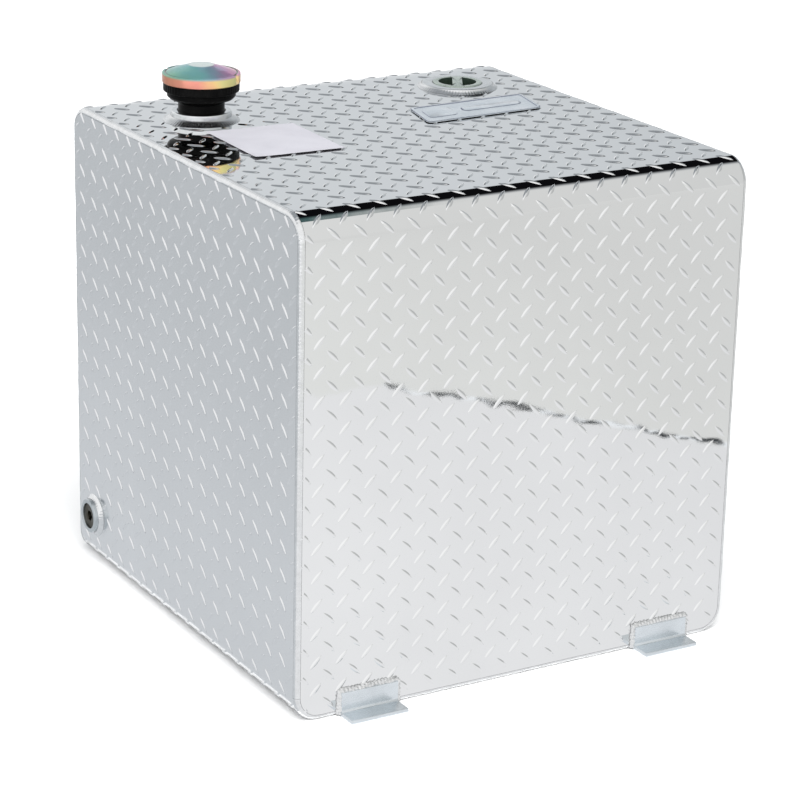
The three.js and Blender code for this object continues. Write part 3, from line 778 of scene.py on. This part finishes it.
def foot_weld(name, centre_x, facing):
    """A rough bead up both sides of a foot's upright leg and across its top."""
    low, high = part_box(name.replace("foot_weld", "foot"))
    wall = facing * (HALF + GAP * 0.5)
    leg = 4.6 * MM
    out = Vector((0, facing, 0))
    step = 1.3 * MM
    corners = [
        (Vector((low.x, wall, 2.5 * MM)), Vector((-1, 0, 0))),
        (Vector((low.x, wall, high.z)), Vector((-0.7, 0, 0.7))),
        (Vector((high.x, wall, high.z)), Vector((0.7, 0, 0.7))),
        (Vector((high.x, wall, 2.5 * MM)), Vector((1, 0, 0))),
    ]
    leans = [Vector((-1, 0, 0)), Vector((0, 0, 1)), Vector((1, 0, 0))]
    stations = []
    for (start, first), (stop, last), lean in zip(corners, corners[1:], leans):
        count = int((stop - start).length / step)
        for i in range(count):
            near = min(i, count - i)
            blend = min(near / 4, 1)
            corner = first if i < count / 2 else last
            stations.append((start.lerp(stop, i / count), corner.lerp(lean, blend).normalized(), out))
    stations.append((corners[-1][0], Vector((1, 0, 0)), out))

    def section(i):
        at = stations[i][0]
        points = [(-1.2 * MM, 0.2 * MM)]
        for k in range(7):
            turn = math.pi / 2 * k / 6
            rough = noise.fractal(at * 260 + Vector((k * 1.3, centre_x, 0)), 1.0, 2.0, 3)
            beat = math.cos(2 * math.pi * i * step / (4.4 * MM))
            size = leg * (1 + 0.32 * rough + 0.1 * beat)
            points.append((size * math.cos(turn), 0.2 * MM + size * 0.9 * math.sin(turn)))
        points.append((-1.2 * MM, leg * 0.8))
        return points

    sections = [section(i) for i in range(len(stations))]
    verts, faces = swept(lambda i: sections[i], stations)
    piece(name, verts, faces, "tank", ROUGH_BEAD, 60)


# ---------------------------------------------------------------- feet


def build_feet():
    for row, facing in (("front", -1), ("back", 1)):
        for end in ("left", "right"):
            name = f"foot_{row}_{end}"
            low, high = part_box(name)
            thick = 5 * MM
            wall = facing * (HALF + GAP)
            reach = max(abs(low.y), abs(high.y)) - HALF - GAP
            outline = rounded([
                (0, 0, 2.2 * MM),
                (reach, 0, 0.5 * MM),
                (reach, thick, 0.9 * MM),
                (thick, thick, 4 * MM),
                (thick, high.z, 0.9 * MM),
                (0, high.z, 0.4 * MM),
            ], 5)
            stations = []
            for x in (low.x, high.x):
                stations.append((Vector((x, wall, 0)), Vector((0, facing, 0)), Vector((0, 0, 1))))
            verts, faces = swept(lambda i: outline, stations)
            mesh = bevelled(raw_mesh(name, verts, faces), 0.6 * MM, 3, 50)
            finish_piece(mesh, name, "tank", FOOT_METAL, 40)
            foot_weld(f"foot_weld_{row}_{end}", middle(name).x, facing)


# ---------------------------------------------------------------- filler and cap


def build_filler():
    height = CAP.z - TANK
    radius = half_width("filler_flange")
    profile = rounded([
        (30.4 * MM, -9 * MM),
        (33.6 * MM, -9 * MM, 0.4 * MM),
        (33.6 * MM, GAP),
        (radius, GAP, 0.5 * MM),
        (radius, height, 2.2 * MM),
        (30.4 * MM, height, 0.8 * MM),
    ], 6)
    verts, faces = lathe(profile, FILLER, angles=128)
    piece("filler_flange", verts, faces, "tank", FILLER_METAL)
    ring_weld("filler_weld", FILLER, "Z", radius, half_width("filler_weld"), 6 * MM, 7)


def mm(points):
    """Profile points given in millimetres, as metres."""
    return [tuple(value * MM for value in point) for point in points]


def build_cap_base():
    profile = rounded(mm([
        (25.5, -18, 0.5), (30, -18, 0.8), (30, -0.3), (29, 0.6, 0.4),
        (29, 10.2, 3), (32, 12.2, 3), (39.4, 15, 3), (42.8, 18.4, 3),
        (42.8, 24.2, 0.8), (31.5, 24.2, 0.5), (31.5, 20.4, 0.4), (36, 20.4, 0.3),
        (36, 16.5, 0.5), (25.5, 16.5, 0.8),
    ]), 5)
    verts, faces = lathe(profile, CAP, angles=128)
    base = raw_mesh("cap_base", verts, faces)
    slot = box_mesh(72 * MM, 21 * MM, 6 * MM, CAP + Vector((0, 0, 22.9 * MM)), TANG_ANGLE)
    mesh = cut(base, [slot])
    finish_piece(mesh, "cap_base", "tank", ENAMEL, 40)


def box_mesh(width, depth, height, centre, turn=0.0):
    shell = bmesh.new()
    bmesh.ops.create_cube(shell, size=1)
    place = Matrix.Translation(centre) @ Matrix.Rotation(turn, 4, "Z")
    bmesh.ops.transform(shell, verts=shell.verts, matrix=place @ Matrix.Diagonal((width, depth, height, 1)))
    mesh = bpy.data.meshes.new("box")
    shell.to_mesh(mesh)
    shell.free()
    return mesh


def build_cap_body():
    profile = rounded(mm([
        (22, 17, 0.4), (28, 17, 0.4), (28, 27.8, 0.4), (43.8, 27.8, 0.5),
        (43.8, 25, 0.4), (47.4, 25, 1.2), (47.4, 35.1, 0.8), (43.8, 35.1, 0.6),
        (43.8, 31.5, 0.6), (6, 31.5, 0.4), (6, 27.8, 0.4), (22, 27.8, 0.4),
    ]), 4)
    knurls = 60

    def grip(radius, height, turn):
        if radius < 46 * MM or not 26 * MM < height < 34.6 * MM:
            return radius, height
        return radius - 0.45 * MM * (0.5 + 0.5 * math.cos(knurls * turn)) ** 3, height

    verts, faces = lathe(profile, CAP, angles=480, warp=grip)
    parts = [raw_mesh("cap_body", verts, faces)]
    for side in (-1, 1):
        offset = Vector((math.cos(TANG_ANGLE), math.sin(TANG_ANGLE), 0)) * (side * 30.8 * MM)
        tang = box_mesh(6.4 * MM, 17 * MM, 3 * MM, CAP + offset + Vector((0, 0, 18.5 * MM)), TANG_ANGLE)
        parts.append(bevelled(tang, 0.5 * MM))
    mesh = joined("cap_body", parts)
    finish_piece(mesh, "cap_body", "cap", ENAMEL, 50)


def build_cap_cover():
    """The pressed cover: a flat centre, a shallow dome, a groove, a rounded shoulder and two rim notches."""
    outer = [
        (0, 57), (16, 57, 1.2), (18.2, 55.9, 1.5), (30.4, 52.4, 12), (43.0, 47.9, 1.2), (44.2, 46.8, 0.6),
        (45.6, 47.8, 0.8), (48.7, 47.6, 2.4), (48.7, 36.4, 0.8), (47.9, 35.5, 0.3),
    ]
    inner = [(47.2, 35.5, 0.3), (47.2, 45.2, 1), (44.0, 45.2), (30.4, 50.4), (16.6, 54.2), (0, 54.9)]
    profile = rounded(mm(outer + inner), 6)
    half_angle = NOTCH_WIDTH / 2 / COVER_RADIUS
    fine = set(round(2 * math.pi * i / 160, 6) for i in range(160))
    centres = (TANG_ANGLE % (2 * math.pi), (TANG_ANGLE + math.pi) % (2 * math.pi))
    for centre in centres:
        for i in range(-12, 13):
            fine.add(round((centre + i * half_angle / 8) % (2 * math.pi), 6))
    angles = sorted(fine)

    def notch(radius, height, turn):
        if radius < 44.5 * MM or height < 40.5 * MM:
            return radius, height
        away = min(abs((turn - c + math.pi) % (2 * math.pi) - math.pi) for c in centres)
        bite = 1 - min(max((away / half_angle - 0.85) / 0.3, 0), 1)
        deep = min((radius - 44.5 * MM) / (4.2 * MM), 1)
        return radius - NOTCH_DEPTH * bite * deep, height - 1.6 * MM * bite * deep

    verts, faces = lathe(profile, CAP, angles=angles, warp=notch)
    piece("cap_cover", verts, faces, "cap", PLATING, 50)


def build_seal(name, centre, axis, fillet, body, sizes):
    """A flat rubber ring with rounded edges; sizes are its radii and its heights, in millimetres."""
    inner, outer, low, high = sizes
    corners = [(inner, low, fillet), (outer, low, fillet), (outer, high, fillet), (inner, high, fillet)]
    verts, faces = lathe(rounded(mm(corners), 4), centre, axis, 96)
    piece(name, verts, faces, body, RUBBER, 60)


# ---------------------------------------------------------------- pump bung and drain


def build_bung():
    profile = rounded(mm([
        (30.1, -11), (36, -11, 0.4), (36, 0.3), (47, 0.3, 0.5), (47, 5.6, 2.4),
        (33, 5.6, 0.8), (33, 2, 0.3), (30.1, 2, 0.6),
    ]), 6)
    verts, faces = lathe(profile, BUNG, angles=128)
    piece("pump_flange", verts, faces, "tank", BUNG_METAL)
    outer = half_width("pump_flange_weld")
    ring_weld("pump_flange_weld", BUNG, "Z", half_width("pump_flange"), outer, 4.5 * MM, 11)
    plug = rounded(mm([
        (0, -11), (29.5, -11, 0.8), (29.5, 4.3), (32.2, 4.3, 0.4), (32.2, 6.6, 1), (0, 6.6),
    ]), 4)
    verts, faces = lathe(plug, BUNG, angles=96)
    solid = clean(raw_mesh("plug", verts, faces))
    mesh = bevelled(cut(solid, [wrench_pocket(-1), wrench_pocket(1)]), 0.5 * MM, 2, 50)
    made = finish_piece(mesh, "pump_plug", "pump_plug", PLUG_METAL)
    # The faces inside the wrench pockets take the dark material: painted shade in the recesses.
    made.data.materials.append(POCKET_SHADE)
    for face in made.data.polygons:
        away = (face.center - BUNG).to_2d().length
        if away < 25.4 * MM and -5 * MM < face.center.z - BUNG.z < 5.4 * MM:
            face.material_index = 1


def wrench_pocket(side):
    """A D-shaped prism beside the bar that crosses the plug."""
    radius, bar = 25 * MM, 6.5 * MM
    half = math.acos(bar / radius)
    arc = [-half + 2 * half * i / 24 for i in range(25)]
    outline = [(side * radius * math.cos(a), side * radius * math.sin(a)) for a in arc]
    across = Vector((math.cos(BUNG_BAR_TURN), math.sin(BUNG_BAR_TURN), 0))
    along = Vector((-math.sin(BUNG_BAR_TURN), math.cos(BUNG_BAR_TURN), 0))
    stations = [(BUNG + Vector((0, 0, z * MM)), across, along) for z in (-4.4, 12)]
    return raw_mesh("pocket", *swept(lambda i: outline, stations))


def build_drain():
    profile = rounded(mm([
        (14.2, -18), (22.2, -18, 0.8), (22.2, 10, 1.4), (16.8, 10, 0.8), (16.8, 1, 0.3), (14.2, 1, 0.5),
    ]), 5)
    verts, faces = lathe(profile, DRAIN, "X", 96)
    piece("drain_coupling", verts, faces, "tank", DRAIN_METAL)
    ring_weld("drain_weld", DRAIN, "X", 22.2 * MM, 28 * MM, 5 * MM, 3)
    plug = rounded(mm([
        (0, -8.9), (13.8, -8.9, 0.8), (13.8, 3.1), (16.4, 3.1, 0.4), (16.4, 7.5, 0.9), (0, 7.5),
    ]), 4)
    verts, faces = lathe(plug, DRAIN, "X", 96)
    solid = clean(raw_mesh("plug", verts, faces))
    across = 12.7 * MM / math.sqrt(3)
    hexagon = [(across * math.cos(math.pi * i / 3), across * math.sin(math.pi * i / 3)) for i in range(6)]
    stations = [(DRAIN + Vector((x * MM, 0, 0)), Vector((0, 1, 0)), Vector((0, 0, 1))) for x in (1.5, -14)]
    socket = raw_mesh("socket", *swept(lambda i: hexagon, stations))
    mesh = bevelled(cut(solid, [socket]), 0.4 * MM, 2, 50)
    finish_piece(mesh, "drain_plug", "drain_plug", DARK_PLUG)


# ---------------------------------------------------------------- label and badge


def build_label():
    """Paper lying over the lugs, with its front-left edges lifting a little."""
    centre = middle("info_label")
    width, depth = 119 * MM, 140 * MM
    across, along = 48, 56
    thick = 0.2 * MM
    tops = []
    for j in range(along + 1):
        for i in range(across + 1):
            x = width * (i / across - 0.5)
            y = depth * (j / along - 0.5)
            sag = 0.15 * MM * noise.noise(Vector((x * 55, y * 55, 3)))
            left = max(1 - (x + width / 2) / (20 * MM), 0) ** 2
            front = max(1 - (y + depth / 2) / (16 * MM), 0) ** 2
            place = centre + Matrix.Rotation(LABEL_TURN, 3, "Z") @ Vector((x, y, 0))
            place.z = TANK + LUG_HEIGHT + sag + 0.6 * MM * left + 0.4 * MM * front
            tops.append(place)
    verts = tops + [point - Vector((0, 0, thick)) for point in tops]
    faces = slab_faces(across, along)
    piece("info_label", verts, faces, "tank", PAPER, 50)


def rounded_rectangle(width, depth, corner, steps=8):
    points = []
    for quarter, (sx, sy) in enumerate(((1, 1), (-1, 1), (-1, -1), (1, -1))):
        hub = Vector((sx * (width / 2 - corner), sy * (depth / 2 - corner)))
        for i in range(steps + 1):
            turn = math.pi / 2 * (quarter + i / steps)
            points.append(hub + Vector((math.cos(turn), math.sin(turn))) * corner)
    return points


def build_badge():
    """A blank plate with a raised rim, a raised field at one end and a plain raised bar; the walls of its
    steps are painted dark as shade.
    """
    centre = middle("badge_plate")
    width, depth = 177 * MM, 78 * MM
    base = TANK + LUG_HEIGHT - 0.3 * MM
    right = Vector((math.cos(BADGE_TURN), math.sin(BADGE_TURN), 0))
    up = Vector((-right.y, right.x, 0)) + right * BADGE_SLANT

    def slab(size_x, size_y, corner, low, high, shift=0.0):
        outline = rounded_rectangle(size_x, size_y, corner)
        stations = []
        for z, shrink in ((low, 1), (high - 0.4 * MM, 1), (high, 1 - 0.8 * MM / size_y)):
            at = Vector((centre.x, centre.y, z)) + right * shift
            stations.append((at, right * shrink, up * shrink))
        return raw_mesh("slab", *swept(lambda i: outline, stations))

    plate = slab(width, depth, 9 * MM, base, base + 1.3 * MM)
    field = slab(width - 9 * MM, depth - 9 * MM, 6 * MM, base + 0.7 * MM, base + 4 * MM)
    parts = [cut(plate, [field])]
    for size_x, size_y, shift in ((44 * MM, 40 * MM, -56 * MM), (92 * MM, 20 * MM, 24 * MM)):
        parts.append(slab(size_x, size_y, 8 * MM, base + 0.5 * MM, base + 1.2 * MM, shift))
    mesh = joined("badge_plate", parts)
    made = finish_piece(mesh, "badge_plate", "tank", BADGE_FILM, 35)
    # The walls of the rim, the field and the bar take the dark material: painted shade along the steps.
    made.data.materials.append(BADGE_STEP_SHADE)
    for face in made.data.polygons:
        place = face.center - centre
        x = place.dot(right) - BADGE_SLANT * place.dot(up)
        step = base + 0.75 * MM < face.center.z < base + 1.19 * MM
        if step and abs(x) < width / 2 - 4.6 * MM:
            face.material_index = 1


# ---------------------------------------------------------------- pieces that stay as packed


def build_spring():
    """The vent's coil, built at its packed length; on the real vent it shortens upwards as the valve under it
    lifts.
    """
    low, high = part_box("vent_spring")
    wire = 0.6 * MM
    turns, steps = 5, 24
    radius = half_width("vent_spring") - wire
    centre = middle("vent_spring")
    rise = high.z - low.z - 2 * wire
    stations = []
    for i in range(turns * steps + 1):
        turn = 2 * math.pi * i / steps
        out = Vector((math.cos(turn), math.sin(turn), 0))
        at = Vector((centre.x, centre.y, low.z + wire + rise * i / (turns * steps))) + out * radius
        tangent = Vector((-out.y, out.x, rise / (turns * 2 * math.pi * radius))).normalized()
        stations.append((at, out, tangent.cross(out)))
    circle = [(wire * math.cos(math.pi * k / 5), wire * math.sin(math.pi * k / 5)) for k in range(10)]
    verts, faces = swept(lambda i: circle, stations)
    made = piece("vent_spring", verts, faces, "cap", SPRING_STEEL)
    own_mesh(made)


def dress_packed_nodes():
    looks = {
        "baffle_lengthwise": BAFFLE_METAL,
        "baffle_crosswise": BAFFLE_METAL,
        "vent_cage": SPRING_STEEL,
        "vent_poppet": RUBBER,
    }
    for name, look in looks.items():
        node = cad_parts[name]
        for index in range(len(node.material_slots)):
            node.material_slots[index].material = look


# ---------------------------------------------------------------- stage, light and camera

AZIMUTH = math.radians(-30.66)
ELEVATION = math.radians(18.88)
ROLL = math.radians(1.32)
DISTANCE = 5.835 * TANK
AIM_RIGHT = 0.0085 * TANK
AIM_UP = -0.0711 * TANK
LENS = 126.4


def build_camera():
    right = Vector((math.cos(AZIMUTH), math.sin(AZIMUTH), 0))
    back = Vector((
        math.sin(AZIMUTH) * math.cos(ELEVATION),
        -math.cos(AZIMUTH) * math.cos(ELEVATION),
        math.sin(ELEVATION),
    ))
    up = back.cross(right)
    rolled_right = right * math.cos(ROLL) + up * math.sin(ROLL)
    rolled_up = up * math.cos(ROLL) - right * math.sin(ROLL)
    place = Vector((0, 0, HALF)) + rolled_right * AIM_RIGHT + rolled_up * AIM_UP + back * DISTANCE
    camera = bpy.data.objects.new("camera", bpy.data.cameras.new("camera"))
    bpy.context.scene.collection.objects.link(camera)
    camera.data.lens = LENS
    camera.data.sensor_width = 36
    turn = Matrix((rolled_right, rolled_up, back)).transposed()
    camera.matrix_world = Matrix.Translation(place) @ turn.to_4x4()
    bpy.context.scene.camera = camera


def stage_plane(name, corners, look):
    mesh = bpy.data.meshes.new(name)
    mesh.from_pydata(corners, [], [tuple(range(len(corners)))])
    mesh.materials.append(look)
    obj = loose(name, mesh)
    return obj


def glow(name, near, far, start, end):
    """A card's look: its tone drifts from near to far between two places in X."""
    look = Look(name, (0, 0, 0), 0.0, 1.0)
    split = look.node("ShaderNodeSeparateXYZ")
    look.tree.links.new(look.place, split.inputs[0])
    look.shine(look.mix(look.span(split.outputs[0], 0, 1, start, end), near, far))
    return look.material


def broken_line(name, gap_tone, blot_tone):
    """A card's look: dark blots with pale gaps between them."""
    look = Look(name, (0, 0, 0), 0.0, 1.0)
    blots = look.span(look.noise(27, 1), 0, 1, 0.43, 0.48)
    look.shine(look.mix(blots, gap_tone, blot_tone))
    return look.material


def reflection_card(name, corners, look):
    """A card that only reflections show."""
    card = stage_plane(name, corners, look)
    card.visible_camera = False
    card.visible_shadow = False
    card.visible_diffuse = False


def patch(left, right, front, back, height):
    return [(left, front, height), (right, front, height), (right, back, height), (left, back, height)]


# The floor's edge in front of the tank, between its nearest corner and a place further right.
EDGE_NEAR = Vector((0.40, -1.325, 0.003))
EDGE_FAR = Vector((0.712, -0.838, 0.003))
EDGE_TURNED = Vector((-1, -0.08, 0))
EDGE_WIDTH = 0.018


def build_floor_edge():
    """The paler ground beyond the floor's edge, and the broken dark line along that edge."""
    run = (EDGE_FAR - EDGE_NEAR).normalized()
    out = Vector((run.y, -run.x, 0))
    start, end = EDGE_NEAR + EDGE_TURNED * 3, EDGE_FAR + run * 3
    reach = out * 12
    beyond = [start, EDGE_NEAR, end, end + reach, EDGE_NEAR + reach - EDGE_TURNED, start - Vector((0, 12, 0))]
    far_grey = glow("floor_far", (0.79, 0.80, 0.785), (0.69, 0.695, 0.685), 0.2, 1.2)
    reflection_card("floor_far", beyond, far_grey)
    lift = Vector((0, 0, 0.001))
    band = out * EDGE_WIDTH + lift
    edge = broken_line("floor_edge", (0.90, 0.93, 0.96), (0.02, 0.025, 0.03))
    reflection_card("floor_edge", [EDGE_NEAR + lift, end + lift, end + band, EDGE_NEAR + band], edge)


def build_floor():
    pale = Look("floor_pale", (0.84, 0.84, 0.84), 0.0, 0.9).material
    stage_plane("floor", patch(-8, 8, -8, 8, 0), pale)
    front_grey = glow("floor_front", (0.85, 0.855, 0.865), (0.735, 0.74, 0.75), 0.0, 1.1)
    left_grey = glow("floor_left", (0.53, 0.555, 0.575), (0.64, 0.665, 0.69), -1.1, -0.4)
    side_grey = glow("floor_side", (0.70, 0.71, 0.72), (0.64, 0.65, 0.66), 0.3, 2.0)
    reflection_card("floor_front", patch(-3, 4, -5, -HALF, 0.001), front_grey)
    build_floor_edge()
    reflection_card("floor_left", patch(-6, -HALF, -HALF, 6, 0.002), left_grey)
    reflection_card("floor_right", patch(HALF, 6, -HALF, 6, 0.002), side_grey)
    reflection_card("floor_back", patch(-HALF, HALF, HALF, 6, 0.002), side_grey)


def build_world():
    """A pale room: grey to the right and overhead, with one small dark patch high on its right."""
    world = bpy.data.worlds.new("studio")
    world.use_nodes = True
    bpy.context.scene.world = world
    room = Nodes(world.node_tree)
    place = room.node("ShaderNodeTexCoord").outputs["Generated"]
    side = room.along(place, (1, 0, 0))
    depth = room.along(place, (0, 1, 0))
    height = room.along(place, (0, 0, 1))
    patch_near = room.along(place, (0.62, 0.25, 0.745))

    def blend(value, start, end, first, second):
        return room.mix(room.span(value, 0, 1, start, end), first, second)

    front = blend(side, -0.15, 0.48, (1.0, 1.0, 1.0), (0.75, 0.755, 0.745))
    front = blend(side, 0.48, 0.95, front, (0.5, 0.51, 0.51))
    back = blend(side, -0.2, 0.46, (1.0, 1.0, 1.0), (0.66, 0.69, 0.715))
    back = blend(side, 0.5, 0.8, back, (0.44, 0.47, 0.49))
    back = blend(height, 0.06, 0.2, (0.9, 0.91, 0.92), back)
    back = blend(height, 0.5, 0.72, back, (0.31, 0.33, 0.35))
    walls = blend(depth, -0.1, 0.15, front, back)
    teal = blend(side, 0.46, 0.51, (0.055, 0.11, 0.11), walls)
    dark = blend(depth, -0.02, 0.16, teal, (0.004, 0.004, 0.005))
    dark = blend(side, 0.3, 0.41, walls, dark)
    dark = blend(side, 0.6, 0.68, dark, walls)
    tone = blend(patch_near, 0.862, 0.872, walls, dark)
    room.tree.links.new(tone, room.tree.nodes["Background"].inputs[0])


def build_lights():
    sun = bpy.data.lights.new("key", "SUN")
    sun.energy = 3.7
    sun.angle = math.radians(50)
    key = bpy.data.objects.new("key", sun)
    bpy.context.scene.collection.objects.link(key)
    key.rotation_euler = (math.radians(32), math.radians(-18), 0)
    key.visible_glossy = False


build_camera()
build_world()
build_lights()
build_floor()
build_sheets()
build_seams()
build_feet()
build_filler()
build_cap_base()
build_cap_body()
build_cap_cover()
build_seal("cap_gasket", CAP, "Z", 0.6, "cap_seal", (32.5, 42, 24.5, 27.5))
build_bung()
build_seal("pump_plug_gasket", BUNG, "Z", 0.3, "pump_seal", (29.8, 32.7, 2.3, 4.0))
build_drain()
build_seal("drain_plug_gasket", DRAIN, "X", 0.3, "drain_seal", (14.1, 16.5, 1.3, 2.8))
build_label()
build_badge()
build_spring()
dress_packed_nodes()
bpy.context.scene.view_settings.view_transform = "Standard"

bpy.context.view_layer.update()
